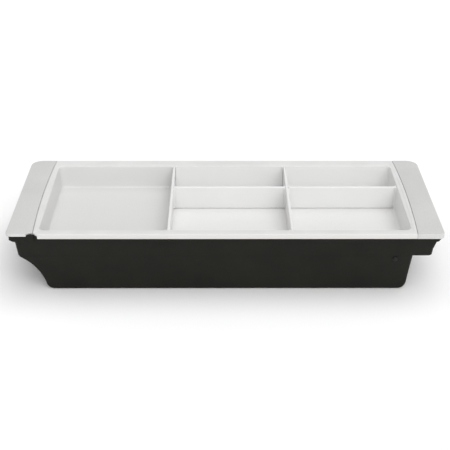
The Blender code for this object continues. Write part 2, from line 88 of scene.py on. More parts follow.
# ------------------------------------------------------------------ drawer tub
# One injection-moulded ABS tub, 2.8 mm thick. It drops into a cut-out and hangs by the flange
# round its top. A cove clears the counter's frame on the left, and a step rests on it on the right.
HALF_LENGTH, HALF_DEPTH = cad_high.x, cad_high.y
BEAD_RISE = 0.0005                   # only the tray's edge beads stand above the deck
DECK_TOP = cad_high.z - BEAD_RISE    # top of the rims and end plates
DECK_THICK, LIP_THICK = 0.003, 0.002
GAP = 0.0003                         # between pieces that rest on each other
BACK_CORNER, FRONT_CORNER = 0.014, 0.006
FLANGE_X = HALF_LENGTH - LIP_THICK - 2 * GAP
FLANGE_Y = HALF_DEPTH - LIP_THICK - 2 * GAP
FLANGE_TOP = DECK_TOP - DECK_THICK - GAP
FLANGE_DEEP, FLANGE_EDGE = 0.0077, 0.0006
FLANGE_BASE = FLANGE_TOP - FLANGE_DEEP
FLANGE_SIDE, FLANGE_END = 0.0025, 0.0044                   # flange beyond the long and the end walls
LEFT_TIP, RIGHT_TIP = (0.0032, 0.0016), (0.0020, 0.0024)   # chamfers under the flange's ends
TUB_WALL = 0.0028
SIDE_DRAFT, END_DRAFT = radians(8.0), radians(6.8)
COVE_Z, COVE_IN, COVE_SAG = 0.0445, 0.0272, 0.0046
COVE_BREAK = 0.0012                  # rounding where the cove meets the end wall
COVE_LIFT = 0.72                     # share of the wall by which the cove's inside is raised
LEDGE_Z, LEDGE_WIDE, LEDGE_ROUND = 0.0465, 0.0205, 0.0008
LEDGE_FILLET = 0.001
MOULD_LINE = 0.0003                  # the tub is this much smaller below the ledge
END_FOOT, SIDE_FOOT = 0.008, 0.003
GUSSET_DROP, CHAMFER_DROP = 0.012, 0.0038
GUSSET_LOW, CHAMFER_LOW = FLANGE_BASE - GUSSET_DROP, FLANGE_BASE - CHAMFER_DROP
CORNER_STEPS = 10


def arc(x, y, radius, start, end, steps):
    turns = [start + (end - start) * i / steps for i in range(steps + 1)]
    return [(x + radius * cos(turn), y + radius * sin(turn)) for turn in turns]


def oblong(left, right, front, back, radius, z, front_radius=None):
    """Rounded oblong at height z, anticlockwise from the right-hand rear corner."""
    near = radius if front_radius is None else front_radius
    points = []
    for x, y, turn, r in ((right - radius, back - radius, 0.0, radius),
                          (left + radius, back - radius, pi / 2, radius),
                          (left + near, front + near, pi, near),
                          (right - near, front + near, 1.5 * pi, near)):
        points += arc(x, y, r, turn, turn + pi / 2, CORNER_STEPS)
    return [Vector((x, y, z)) for x, y in points]


def moulding(rings):
    """Closed skin through rings of equal point count; points that coincide are shared."""
    bm = bmesh.new()
    corners = {}

    def corner(point):
        key = tuple(round(value * 1e7) for value in point)
        if key not in corners:
            corners[key] = bm.verts.new(point)
        return corners[key]

    def face(points):
        loop = []
        for point in points:
            vert = corner(point)
            if vert not in loop:
                loop.append(vert)
        if len(loop) > 2 and bm.faces.get(loop) is None:
            bm.faces.new(loop)

    count = len(rings[0])
    for low, high in zip(rings, rings[1:]):
        for i in range(count):
            j = (i + 1) % count
            face((low[i], low[j], high[j], high[i]))
    face(reversed(rings[0]))
    face(rings[-1])
    bmesh.ops.recalc_face_normals(bm, faces=bm.faces)
    return bm


def piece(name, bm, crease=35):
    mesh = bpy.data.meshes.new(name)
    bm.to_mesh(mesh)
    bm.free()
    mesh.shade_smooth()
    mesh.set_sharp_from_angle(angle=radians(crease))
    obj = bpy.data.objects.new(name, mesh)
    bpy.context.scene.collection.objects.link(obj)
    return obj


def settle(obj):
    """Turns a piece's modifiers into plain mesh."""
    shown = obj.evaluated_get(bpy.context.evaluated_depsgraph_get())
    mesh = bpy.data.meshes.new_from_object(shown)
    obj.modifiers.clear()
    obj.data = mesh
    mesh.set_sharp_from_angle(angle=radians(35))


def cut_or_join(obj, tool, operation):
    """Cuts a tool out of a piece or joins it on; the tool, a mesh or a piece, is used up."""
    if isinstance(tool, bmesh.types.BMesh):
        tool = piece(obj.name + "_tool", tool)
    change = obj.modifiers.new(operation, "BOOLEAN")
    change.operation, change.solver, change.object = operation, "EXACT", tool
    settle(obj)
    bpy.data.objects.remove(tool)


def side_wall(z):
    return FLANGE_Y - FLANGE_SIDE - (FLANGE_TOP - z) * tan(SIDE_DRAFT)


def end_wall(z):
    return FLANGE_X - FLANGE_END - (FLANGE_TOP - z) * tan(END_DRAFT)


def step_wall(z):
    return end_wall(LEDGE_Z) - LEDGE_WIDE - (LEDGE_Z - z) * tan(END_DRAFT)


def cove(z):
    """Hollow arc from the left-hand end wall down to the foot."""
    top = Vector((-end_wall(COVE_Z), COVE_Z))
    foot = Vector((top.x + COVE_IN, END_FOOT))
    chord = top - foot
    radius = (chord.length ** 2 / 4 + COVE_SAG ** 2) / (2 * COVE_SAG)
    outward = Vector((-chord.y, chord.x)).normalized()
    centre = (top + foot) / 2 + outward * (radius - COVE_SAG)
    return centre.x + sqrt(max(radius ** 2 - (z - centre.y) ** 2, 0.0))


def foot_in(z, radius):
    return 0.0 if z >= radius else radius - sqrt(radius ** 2 - (radius - z) ** 2)


def tub_left(z):
    if z < END_FOOT:
        return cove(END_FOOT) + foot_in(z, END_FOOT) + (END_FOOT - z) * tan(END_DRAFT)
    if abs(z - COVE_Z) < COVE_BREAK:
        share = (z - COVE_Z + COVE_BREAK) / (2 * COVE_BREAK)
        low, high = cove(COVE_Z - COVE_BREAK), -end_wall(COVE_Z + COVE_BREAK)
        return (1 - share) ** 2 * low + 2 * share * (1 - share) * -end_wall(COVE_Z) + share ** 2 * high
    return cove(z) if z < COVE_Z else -end_wall(z)


def tub_right(z):
    fillet = z - LEDGE_Z + LEDGE_FILLET
    out = LEDGE_FILLET - sqrt(LEDGE_FILLET ** 2 - fillet ** 2) if fillet > 0 else 0.0
    return step_wall(z) - foot_in(z, END_FOOT) + out


def tub_ring(z, left, right, inset=0.0):
    side = side_wall(z) - foot_in(z, SIDE_FOOT) - inset
    inside = LIP_THICK + inset
    return oblong(left + inset, right - inset, -side, side, BACK_CORNER - inside, z, FRONT_CORNER - inside)


def flange_ring(z, left, right, inset=0.0):
    side, inside = FLANGE_Y - inset, LIP_THICK + inset
    return oblong(left, right, -side, side, BACK_CORNER - inside, z, FRONT_CORNER - inside)


def rising(low, high, steps):
    return [low + (high - low) * i / steps for i in range(steps + 1)]


def rounding(radius, steps):
    """Steps of a rounded edge: one value falls from its radius to nothing as the other rises to it."""
    return [(radius * (1 - sin(turn)), radius * (1 - cos(turn))) for turn in rising(0.0, pi / 2, steps)]


foot_levels = {round(radius * (1 - cos(turn)), 7)
               for radius in (END_FOOT, SIDE_FOOT) for turn in rising(0.0, pi / 2, 8)}
outside = sorted(foot_levels) + rising(END_FOOT, COVE_Z - COVE_BREAK, 24)[1:]
outside += rising(COVE_Z - COVE_BREAK, COVE_Z + COVE_BREAK, 6)[1:]
outside += [LEDGE_Z - LEDGE_FILLET * cos(turn) for turn in rising(0.0, pi / 2, 5)]
tub_skin = [tub_ring(z, tub_left(z), tub_right(z), MOULD_LINE) for z in outside]
for inset, rise in rounding(LEDGE_ROUND, 6):
    z = LEDGE_Z + rise
    tub_skin.append(tub_ring(z, -end_wall(z), end_wall(z) - inset))
left_tip, right_tip = (FLANGE_X - across - FLANGE_EDGE for across, up in (LEFT_TIP, RIGHT_TIP))
for z in rising(GUSSET_LOW, CHAMFER_LOW, 4) + [FLANGE_BASE]:
    share = (z - GUSSET_LOW) / (FLANGE_BASE - GUSSET_LOW)
    left = left_tip if z == FLANGE_BASE else end_wall(z)
    tub_skin.append(tub_ring(z, -left, end_wall(GUSSET_LOW) + share * (right_tip - end_wall(GUSSET_LOW))))
for inset, rise in rounding(FLANGE_EDGE, 4) + [(0.0, up) for across, up in (LEFT_TIP, RIGHT_TIP)]:
    left, right = (FLANGE_X - across * max(1 - rise / up, 0.0) for across, up in (LEFT_TIP, RIGHT_TIP))
    tub_skin.append(flange_ring(FLANGE_BASE + rise, -left, right, inset))
for inset, drop in reversed(rounding(FLANGE_EDGE, 4)):
    tub_skin.append(flange_ring(FLANGE_TOP - drop, inset - FLANGE_X, FLANGE_X - inset, inset))
for inset, drop in rounding(FLANGE_EDGE, 4):
    z = FLANGE_TOP - drop
    tub_skin.append(tub_ring(z, -end_wall(z), end_wall(z), TUB_WALL - inset))
inner_ledge = LEDGE_Z + TUB_WALL
for rise, inset in rounding(LEDGE_ROUND, 5):
    z = inner_ledge + rise
    tub_skin.append(tub_ring(z, -end_wall(z), end_wall(z) - inset, TUB_WALL))
inner = TUB_WALL + MOULD_LINE
tub_skin.append(tub_ring(inner_ledge, -end_wall(inner_ledge), step_wall(inner_ledge), inner))
slant = TUB_WALL * COVE_LIFT
for z in reversed(rising(END_FOOT, COVE_Z, 20)[1:-1]):
    tub_skin.append(tub_ring(z + slant, cove(z) + slant - TUB_WALL, tub_right(z + slant), inner))
for rise, inset in rounding(END_FOOT, 8):
    z = TUB_WALL + rise
    tub_skin.append(tub_ring(z, cove(END_FOOT) + inset / 2, step_wall(z) - inset / 2, inner))

drawer_tub = piece("drawer_tub_moulding", moulding(tub_skin))

# The plates' screws come up through counterbores in the end flanges, and a stud passes through
# each long wall.
SCREW_SHANK, SCREW_HEAD = 0.0025, 0.0046
SCREW_BORE, HEAD_BORE = SCREW_SHANK / 2 + GAP, SCREW_HEAD / 2 + GAP
SCREW_FLESH, SCREW_END = 0.004, 0.032        # flange left above a head; outer screws from the long sides
SCREW_SEAT = FLANGE_TOP - SCREW_FLESH
SCREW_X = (FLANGE_X + end_wall(FLANGE_TOP) - TUB_WALL) / 2
SCREW_Y = FLANGE_Y - SCREW_END
STUD_X, STUD_SHANK, NUT_WIDE = 0.189, 0.0032, 0.008
STUD_BORE = STUD_SHANK / 2 + GAP
STUD_PLACE = Vector((STUD_X, 0.0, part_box("money_tray")[0].z - NUT_WIDE / 2 - 2 * GAP))
PAST = 0.001                                 # how far a cutter runs past the face that it cuts
WALL_CUTTER = (-0.004, 0.006)                # ends of a stud hole's cutter, from the wall's outside


def turned(profile, steps=32):
    """Body turned about Z from (radius, height) points, closed flat at both ends."""
    return moulding([[Vector((radius * cos(2 * pi * i / steps), radius * sin(2 * pi * i / steps), height))
                      for i in range(steps)] for radius, height in profile])


def onto_wall(bm, side):
    """Turns a body drawn about Z square into the long wall, inside the tub at +Z."""
    inward = Vector((0, -side * cos(SIDE_DRAFT), sin(SIDE_DRAFT)))
    place = Vector((STUD_PLACE.x, side * (side_wall(STUD_PLACE.z) - MOULD_LINE), STUD_PLACE.z))
    turn = Vector((0, 0, 1)).rotation_difference(inward).to_matrix().to_4x4()
    bmesh.ops.transform(bm, matrix=Matrix.Translation(place) @ turn, verts=bm.verts)
    return bm


def together(bodies):
    """All the bodies in one mesh."""
    whole = bmesh.new()
    for body in bodies:
        mesh = bpy.data.meshes.new("part")
        body.to_mesh(mesh)
        body.free()
        whole.from_mesh(mesh)
        bpy.data.meshes.remove(mesh)
    return whole


def screw_bores(x, profile):
    """Cutters for the three screws at one end, each turned from the profile."""
    bores = []
    for y in (-SCREW_Y, 0.0, SCREW_Y):
        bore = turned(profile)
        bmesh.ops.translate(bore, verts=bore.verts, vec=(x, y, 0))
        bores.append(bore)
    return bores


counterbore = [(HEAD_BORE, GUSSET_LOW), (HEAD_BORE, SCREW_SEAT), (SCREW_BORE, SCREW_SEAT),
               (SCREW_BORE, FLANGE_TOP + PAST)]
holes = screw_bores(-SCREW_X, counterbore) + screw_bores(SCREW_X, counterbore)
holes += [onto_wall(turned([(STUD_BORE, at) for at in WALL_CUTTER]), side) for side in (-1, 1)]
cut_or_join(drawer_tub, together(holes), "DIFFERENCE")

# A half-round key on the flange's front edge sits in the left plate's notch and squares it up.
PLATE_WIDTH = 0.0297                 # of an end plate at its ends
KEY_X = -(HALF_LENGTH - PLATE_WIDTH - GAP) - 0.003
KEY_RADIUS, KEY_ROUND, KEY_IN, KEY_LIFT = 0.004, 0.0004, 0.0005, 0.001
KEY_TOP = DECK_TOP - DECK_THICK / 2
key_flat = asin(KEY_IN / KEY_RADIUS)
key_rings = []
for inset, z in ((0.0, FLANGE_BASE + KEY_LIFT), (0.0, KEY_TOP - KEY_ROUND),
                 (0.375 * KEY_ROUND, KEY_TOP - KEY_ROUND / 4), (KEY_ROUND, KEY_TOP)):
    half_round = arc(KEY_X, -HALF_DEPTH, KEY_RADIUS - inset, key_flat, pi - key_flat, 20)
    key_rings.append([Vector((x, max(y, -HALF_DEPTH + KEY_IN + inset), z)) for x, y in half_round])
cut_or_join(drawer_tub, moulding(key_rings), "UNION")


def linear(hex_colour):
    """Linear RGBA from an sRGB hex value."""
    parts = [int(hex_colour[i:i + 2], 16) / 255 for i in (0, 2, 4)]
    return [c / 12.92 if c <= 0.04045 else ((c + 0.055) / 1.055) ** 2.4 for c in parts] + [1.0]


COLOUR_A, COLOUR_B, MIXED = 6, 7, 2  # a colour Mix node's two inputs and its output


def add(tree, kind, links=(), fills=(), **settings):
    """A node with its links, as (output, input), and its fills, as (input, value).

    A setting that isn't the node's own fills the input of that name.
    """
    node = tree.nodes.new(kind)
    for name, value in settings.items():
        if hasattr(node, name):
            setattr(node, name, value)
        else:
            node.inputs[name.replace("_", " ")].default_value = value
    for socket, value in fills:
        node.inputs[socket].default_value = value
    for source, target in links:
        tree.links.new(source, node.inputs[target])
    return node


def finish_of(name, **sockets):
    """A material with only a Principled shader, whose constant sockets are set here."""
    material = bpy.data.materials.new(name)
    material.use_nodes = True
    shader = material.node_tree.nodes["Principled BSDF"]
    for socket, value in sockets.items():
        shader.inputs[socket.replace("_", " ")].default_value = value
    return material, material.node_tree, shader


def shown_by(tree, shader, **results):
    """Links node outputs to the shader's sockets of these names."""
    for socket, output in results.items():
        tree.links.new(output, shader.inputs[socket.replace("_", " ")])


# Spark-eroded black ABS: a dry, even matt with a fine grain, rubbed slightly grey on the foot and
# faintly clouded grey all over. The real 0.1 mm grain is drawn at 0.8 mm so that it shows.
BLACK, RUBBED_BLACK = linear("11120c"), linear("262620")
tub_black, tree, shader = finish_of("spark_eroded_black_abs", IOR=1.4, Specular_IOR_Level=0.3)
place = add(tree, "ShaderNodeTexCoord").outputs["Object"]
grain = add(tree, "ShaderNodeTexNoise", [(place, "Vector")], Scale=1300.0, Detail=2.0, Roughness=0.6)
cloud = add(tree, "ShaderNodeTexNoise", [(place, "Vector")], Scale=28.0, Detail=3.0)
height = add(tree, "ShaderNodeSeparateXYZ", [(place, "Vector")]).outputs["Z"]
foot = add(tree, "ShaderNodeMapRange", [(height, "Value")], From_Min=0.0, From_Max=0.004,
           To_Min=0.8, To_Max=0.0)
rub = add(tree, "ShaderNodeMapRange", [(cloud.outputs["Fac"], "Value")], From_Min=0.42, From_Max=0.68)
worn = add(tree, "ShaderNodeMath", [(foot.outputs[0], 0), (rub.outputs[0], 1)], operation="MULTIPLY")
cloudy = add(tree, "ShaderNodeMapRange", [(cloud.outputs["Fac"], "Value")], From_Min=0.3, From_Max=0.7,
             To_Min=0.0, To_Max=0.22)
amount = add(tree, "ShaderNodeMath", [(worn.outputs[0], 0), (cloudy.outputs[0], 1)], operation="MAXIMUM")
colour = add(tree, "ShaderNodeMix", [(amount.outputs[0], "Factor")],
             [(COLOUR_A, BLACK), (COLOUR_B, RUBBED_BLACK)], data_type="RGBA")
gloss = add(tree, "ShaderNodeMapRange", [(grain.outputs["Fac"], "Value")], From_Min=0.3, From_Max=0.7,
            To_Min=0.48, To_Max=0.74)
bump = add(tree, "ShaderNodeBump", [(grain.outputs["Fac"], "Height")], Strength=0.9, Distance=0.0002)
shown_by(tree, shader, Base_Color=colour.outputs[MIXED], Roughness=gloss.outputs[0],
         Normal=bump.outputs[0])

drawer_tub.data.materials.clear()
drawer_tub.data.materials.append(tub_black)
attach(drawer_tub, "drawer")
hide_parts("drawer_tub")

# ------------------------------------------------------------------ end plates
# Two 3 mm grey ABS plates that cap the end flanges. Self-tapping screws hold them from below.
# The right one turns down over the flange's edge; the left one is flat, with a notch for the key.
EDGE_BOW = 0.003                     # outward bow of the tray's short edges, which the plates follow
PLATE_EDGE, LIP_DROP, NOTCH_RADIUS = 0.0007, 0.006, 0.0045
PLATE_BASE, LIP_LOW = DECK_TOP - DECK_THICK, DECK_TOP - LIP_DROP
SCREW_BITE = 0.0021
RECESS_FROM = 0.15                   # inboard of the plate, where the cutter of its hollow starts
BOW_RADIUS = (HALF_DEPTH ** 2 + EDGE_BOW ** 2) / (2 * EDGE_BOW)


def bowed(x, steps=24):
    """Points from rear to front on an arc that passes x at both ends and bows out in the middle."""
    reach = asin(HALF_DEPTH / BOW_RADIUS)
    return arc(x + EDGE_BOW - BOW_RADIUS, 0.0, BOW_RADIUS, reach, -reach, steps)


def drawn_in(outline, distance):
    """The outline moved inwards by a distance, with mitred corners; it runs anticlockwise."""
    moved = []
    for i, here in enumerate(outline):
        before, after = Vector(outline[i - 1]), Vector(outline[(i + 1) % len(outline)])
        here = Vector(here)
        first = (here - before).normalized()
        second = (after - here).normalized()
        normal = Vector((-first.y, first.x)) + Vector((-second.y, second.x))
        normal.normalize()
        spread = max(normal.dot(Vector((-first.y, first.x))), 0.4)
        moved.append(here + normal * distance / spread)
    return moved


def slab(outline, low, high, edge, steps=5):
    """A flat moulding whose top edge is rounded and whose bottom edge is just broken."""
    rings = [(edge / 3, low), (0.0, low + edge / 3)]
    rings += [(inset, high - drop) for drop, inset in rounding(edge, steps)]
    return moulding([[Vector((p.x, p.y, z)) for p in drawn_in(outline, inset)] for inset, z in rings])


def plate_outline(side):
    """Plan of an end plate, anticlockwise: round outer corners and a hollow inner edge."""
    x, y = HALF_LENGTH, HALF_DEPTH
    points = arc(x - FRONT_CORNER, -y + FRONT_CORNER, FRONT_CORNER, -pi / 2, 0, 12)
    points += arc(x - BACK_CORNER, y - BACK_CORNER, BACK_CORNER, 0, pi / 2, 16)
    inner_edge = bowed(HALF_LENGTH - PLATE_WIDTH)
    if side > 0:
        return points + inner_edge
    notch = [(px, py) for px, py in arc(-KEY_X, -y, NOTCH_RADIUS, pi, 0.0, 36)
             if px > HALF_LENGTH - PLATE_WIDTH + GAP]
    inner_edge = [(px, py) for px, py in inner_edge if py > notch[0][1]]
    return [(-px, py) for px, py in points + inner_edge + notch][::-1]


left_plate = piece("left_end_plate_moulding", slab(plate_outline(-1), PLATE_BASE, DECK_TOP, PLATE_EDGE))
right_plate = piece("right_end_plate_moulding", slab(plate_outline(1), LIP_LOW, DECK_TOP, PLATE_EDGE))
recess = [oblong(RECESS_FROM, HALF_LENGTH - LIP_THICK, -HALF_DEPTH + LIP_THICK, HALF_DEPTH - LIP_THICK,
                 BACK_CORNER - LIP_THICK, z, FRONT_CORNER - LIP_THICK)
          for z in (LIP_LOW - PAST, PLATE_BASE)]
cut_or_join(right_plate, moulding(recess), "DIFFERENCE")
pilot = [(SCREW_BORE, PLATE_BASE - PAST), (SCREW_BORE, PLATE_BASE + SCREW_BITE + GAP)]
for plate, x in ((left_plate, -SCREW_X), (right_plate, SCREW_X)):
    cut_or_join(plate, together(screw_bores(x, pilot)), "DIFFERENCE")

# Grey ABS from a finely etched mould: satin, with a faint drift of tone from the flow of the melt
# and darker pits. The etched grain, about 0.2 mm on the real plates, is drawn at 0.8 mm.
PLATE_GREY, PLATE_SHADE, PLATE_PIT = linear("cccccb"), linear("c6c6c4"), linear("b9b9b7")
plate_grey, tree, shader = finish_of("etched_grey_abs", IOR=1.45)
place = add(tree, "ShaderNodeTexCoord").outputs["Object"]
grain = add(tree, "ShaderNodeTexNoise", [(place, "Vector")], Scale=1300.0, Detail=3.0, Roughness=0.55)
drift = add(tree, "ShaderNodeTexNoise", [(place, "Vector")], Scale=16.0, Detail=4.0, Distortion=0.6)
tone = add(tree, "ShaderNodeMapRange", [(drift.outputs["Fac"], "Value")], From_Min=0.35, From_Max=0.7)
colour = add(tree, "ShaderNodeMix", [(tone.outputs[0], "Factor")],
             [(COLOUR_A, PLATE_GREY), (COLOUR_B, PLATE_SHADE)], data_type="RGBA")
pits = add(tree, "ShaderNodeMapRange", [(grain.outputs["Fac"], "Value")], From_Min=0.5, From_Max=0.36,
           To_Max=0.6)
pitted = add(tree, "ShaderNodeMix", [(pits.outputs[0], "Factor"), (colour.outputs[MIXED], COLOUR_A)],
             [(COLOUR_B, PLATE_PIT)], data_type="RGBA")
gloss = add(tree, "ShaderNodeMapRange", [(grain.outputs["Fac"], "Value")], To_Min=0.42, To_Max=0.58)
bump = add(tree, "ShaderNodeBump", [(grain.outputs["Fac"], "Height")], Strength=0.9, Distance=0.0002)
shown_by(tree, shader, Base_Color=pitted.outputs[MIXED], Roughness=gloss.outputs[0],
         Normal=bump.outputs[0])

for plate, node in ((left_plate, "left_end_plate"), (right_plate, "right_end_plate")):
    plate.data.materials.clear()
    plate.data.materials.append(plate_grey)
    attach(plate, "drawer")
    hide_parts(node)

# ------------------------------------------------------------------ plate screws
# Six pan-head self-tapping screws, zinc-plated steel with a cross recess. They go up through the
# flange's counterbores and bite 2.1 mm into the end plates.
SCREW_HEAD_TALL, SCREW_TIP = 0.0017, 0.0006
THREAD_PITCH, THREAD_DEEP, THREAD_STEPS = 0.0009, 0.00025, 8
CROSS_MOUTH, CROSS_FLOOR = (0.00125, 0.0003), (0.0005, 0.00018)   # half length and width of its arms
CROSS_DEEP, CROSS_TURN = 0.0009, radians(8)


def domed(wide, tall, rim, under, top):
    """Profile of a domed head, crown first; rim is the share of its height that its rim takes up."""
    return [(wide / 2 * cos(turn), under - tall * (rim + (1 - rim) * sin(turn)))
            for turn in reversed(rising(0.0, top, 8))]


def plate_screw():
    """One screw about Z, head down, its head's underside at zero."""
    length = PLATE_BASE + SCREW_BITE - (SCREW_SEAT - GAP)
    shank = [(SCREW_HEAD / 2, 0.0)]
    for i in range(int((length - SCREW_TIP) / THREAD_PITCH * THREAD_STEPS)):
        wave = 0.5 - 0.5 * cos(2 * pi * i / THREAD_STEPS)
        shank.append((SCREW_SHANK / 2 - THREAD_DEEP * (1 - wave), i * THREAD_PITCH / THREAD_STEPS))
    shank += [(SCREW_SHANK / 2 - THREAD_DEEP, length - SCREW_TIP), (SCREW_SHANK / 5, length)]
    return turned(domed(SCREW_HEAD, SCREW_HEAD_TALL, 0.25, 0.0, radians(84)) + shank)


def cross_recess():
    """The driver's cross, tapering upwards into the screw's head."""
    rings = []
    for z, (half, wide) in ((-SCREW_HEAD_TALL - PAST / 5, CROSS_MOUTH),
                            (-SCREW_HEAD_TALL + CROSS_DEEP, CROSS_FLOOR)):
        arm = [(half, -wide), (half, wide), (wide, wide)]
        rings.append([Matrix.Rotation(CROSS_TURN + i * pi / 2, 3, "Z") @ Vector((x, y, z))
                      for i in range(4) for x, y in arm])
    return moulding(rings)


screw_pattern = piece("plate_screw_pattern", plate_screw())
cut_or_join(screw_pattern, cross_recess(), "DIFFERENCE")

# Zinc-plated steel: bright grey, slightly blue, with a fine streaky lustre from the plating bath.
ZINC, ZINC_DULL = linear("c9ccd0"), linear("a3a6aa")
zinc_steel, tree, shader = finish_of("zinc_plated_steel", Metallic=1.0)
place = add(tree, "ShaderNodeTexCoord").outputs["Object"]
streak = add(tree, "ShaderNodeTexNoise", [(place, "Vector")], Scale=900.0, Detail=4.0)
colour = add(tree, "ShaderNodeMix", [(streak.outputs["Fac"], "Factor")],
             [(COLOUR_A, ZINC), (COLOUR_B, ZINC_DULL)], data_type="RGBA")
gloss = add(tree, "ShaderNodeMapRange", [(streak.outputs["Fac"], "Value")], To_Min=0.24, To_Max=0.46)
shown_by(tree, shader, Base_Color=colour.outputs[MIXED], Roughness=gloss.outputs[0])


def growing(name, inputs):
    """A Geometry Nodes tree with Geometry in and out and these inputs; gives it and its inputs."""
    tree = bpy.data.node_groups.new(name, "GeometryNodeTree")
    for label, kind in (("Geometry", "Geometry"),) + inputs:
        tree.interface.new_socket(label, in_out="INPUT", socket_type=f"NodeSocket{kind}")
    tree.interface.new_socket("Geometry", in_out="OUTPUT", socket_type="NodeSocketGeometry")
    return tree, add(tree, "NodeGroupInput").outputs


def made_real(tree, placed, finish):
    """Ends a tree: the instances become real geometry in one finish."""
    real = add(tree, "GeometryNodeRealizeInstances", [(placed.outputs[0], "Geometry")])
    painted = add(tree, "GeometryNodeSetMaterial", [(real.outputs[0], "Geometry"), (finish, "Material")])
    add(tree, "NodeGroupOutput", [(painted.outputs[0], "Geometry")])


screw_tree, given = growing("plate_screw_rows", (
    ("Screw", "Object"), ("Row spacing", "Float"), ("End spacing", "Float"), ("Seat height", "Float"),
    ("Finish", "Material")))
pitch = add(screw_tree, "ShaderNodeCombineXYZ", [(given["Row spacing"], "Y")])
to_front = add(screw_tree, "ShaderNodeMath", [(given["Row spacing"], 0)], [(1, -1.0)], operation="MULTIPLY")
start = add(screw_tree, "ShaderNodeCombineXYZ", [(to_front.outputs[0], "Y"), (given["Seat height"], "Z")])
row = add(screw_tree, "GeometryNodeMeshLine",
          [(start.outputs[0], "Start Location"), (pitch.outputs[0], "Offset")], Count=3)
half_way = add(screw_tree, "ShaderNodeMath", [(given["End spacing"], 0)], [(1, 0.5)], operation="MULTIPLY")
to_right = add(screw_tree, "ShaderNodeCombineXYZ", [(half_way.outputs[0], "X")])
to_left = add(screw_tree, "ShaderNodeVectorMath", [(to_right.outputs[0], 0)], [("Scale", -1.0)],
              operation="SCALE")
both = add(screw_tree, "GeometryNodeJoinGeometry")
for offset in (to_left.outputs[0], to_right.outputs[0]):
    moved = add(screw_tree, "GeometryNodeTransform",
                [(row.outputs[0], "Geometry"), (offset, "Translation")])
    screw_tree.links.new(moved.outputs[0], both.inputs[0])
one = add(screw_tree, "GeometryNodeObjectInfo", [(given["Screw"], "Object")])
placed = add(screw_tree, "GeometryNodeInstanceOnPoints",
             [(both.outputs[0], "Points"), (one.outputs["Geometry"], "Instance")])
made_real(screw_tree, placed, given["Finish"])


def grown(name, tree, values, start=None):
    """Plain mesh piece from a Geometry Nodes tree; values are given by the inputs' labels."""
    obj = piece(name, start or bmesh.new())
    grow = obj.modifiers.new("grow", "NODES")
    grow.node_group = tree
    for item in tree.interface.items_tree:
        if item.in_out == "INPUT" and item.name in values:
            grow[item.identifier] = values[item.name]
    settle(obj)
    return obj


plate_screws = grown("plate_screws", screw_tree, {
    "Screw": screw_pattern, "Row spacing": SCREW_Y, "End spacing": 2 * SCREW_X,
    "Seat height": SCREW_SEAT - GAP, "Finish": zinc_steel})
bpy.data.objects.remove(screw_pattern)
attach(plate_screws, "drawer")
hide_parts(*[f"{side}_plate_screw_{at}" for side in ("left", "right")
                            for at in ("front", "middle", "rear")])

# ------------------------------------------------------------------ wall studs and push nuts
# A black-oxide steel stud through each long wall stops the drawer in its cut-out. Inside the tub
# a spring-steel push nut grips its tail with six sprung teeth.
STUD_HEAD, STUD_HEAD_TALL, STUD_TAIL = 0.0056, 0.0014, 0.003
STUD_POINT = 0.0004                  # chamfer on its tail
NUT_SHEET, NUT_EDGE, NUT_STEPS = 0.0006, 0.0002, 48
TOOTH_LONG, TOOTH_ROOT, TOOTH_TIP = 0.0008, 0.0009, 0.0005
TOOTH_RISE, TOOTH_THICK, TEETH = 0.0005, 0.0005, 6


def wall_stud():
    head = domed(STUD_HEAD, STUD_HEAD_TALL, 0.3, -GAP, radians(80))
    shank, tail = STUD_SHANK / 2, TUB_WALL + STUD_TAIL
    return turned(head + [(STUD_HEAD / 2, -GAP), (shank, -GAP), (shank, tail - STUD_POINT),
                          (shank - STUD_POINT, tail)])


def push_nut():
    """A flat ring with teeth that lean inwards and up to the stud, inside the tub at +Z."""
    low, rim = TUB_WALL + GAP, NUT_WIDE / 2
    profile = [(STUD_BORE + TOOTH_LONG, low), (rim - NUT_EDGE, low), (rim, low + NUT_EDGE),
               (rim, low + NUT_SHEET - NUT_EDGE), (rim - NUT_EDGE, low + NUT_SHEET),
               (STUD_BORE + TOOTH_LONG, low + NUT_SHEET)]
    disc = bmesh.new()
    grid = [[disc.verts.new((radius * cos(turn), radius * sin(turn), z)) for radius, z in profile]
            for turn in rising(0.0, 2 * pi, NUT_STEPS)[:-1]]
    for i in range(NUT_STEPS):
        for j in range(len(profile)):
            k = (j + 1) % len(profile)
            disc.faces.new((grid[i][j], grid[i - 1][j], grid[i - 1][k], grid[i][k]))
    bmesh.ops.recalc_face_normals(disc, faces=disc.faces)
    teeth = []
    for i in range(TEETH):
        tooth = []
        for radius, wide, z in ((STUD_BORE + TOOTH_ROOT, TOOTH_ROOT, low),
                                (STUD_BORE, TOOTH_TIP, low + TOOTH_RISE)):
            corners = ((-wide, 0.0), (wide, 0.0), (wide, TOOTH_THICK), (-wide, TOOTH_THICK))
            tooth.append([Matrix.Rotation(2 * pi * i / TEETH, 3, "Z") @ Vector((radius, y, z + lift))
                          for y, lift in corners])
        teeth.append(moulding(tooth))
    return together([disc] + teeth)


# Black oxide on steel: a near-black, slightly oily skin with a dull shine and paler worn specks.
OXIDE, OXIDE_WORN = linear("1c1c1d"), linear("3b3a38")
black_oxide, tree, shader = finish_of("black_oxide_steel", Metallic=0.6, Roughness=0.42)
place = add(tree, "ShaderNodeTexCoord").outputs["Object"]
speck = add(tree, "ShaderNodeTexNoise", [(place, "Vector")], Scale=1400.0, Detail=4.0)
wear = add(tree, "ShaderNodeMapRange", [(speck.outputs["Fac"], "Value")], From_Min=0.55, From_Max=0.72)
colour = add(tree, "ShaderNodeMix", [(wear.outputs[0], "Factor")],
             [(COLOUR_A, OXIDE), (COLOUR_B, OXIDE_WORN)], data_type="RGBA")
shown_by(tree, shader, Base_Color=colour.outputs[MIXED])

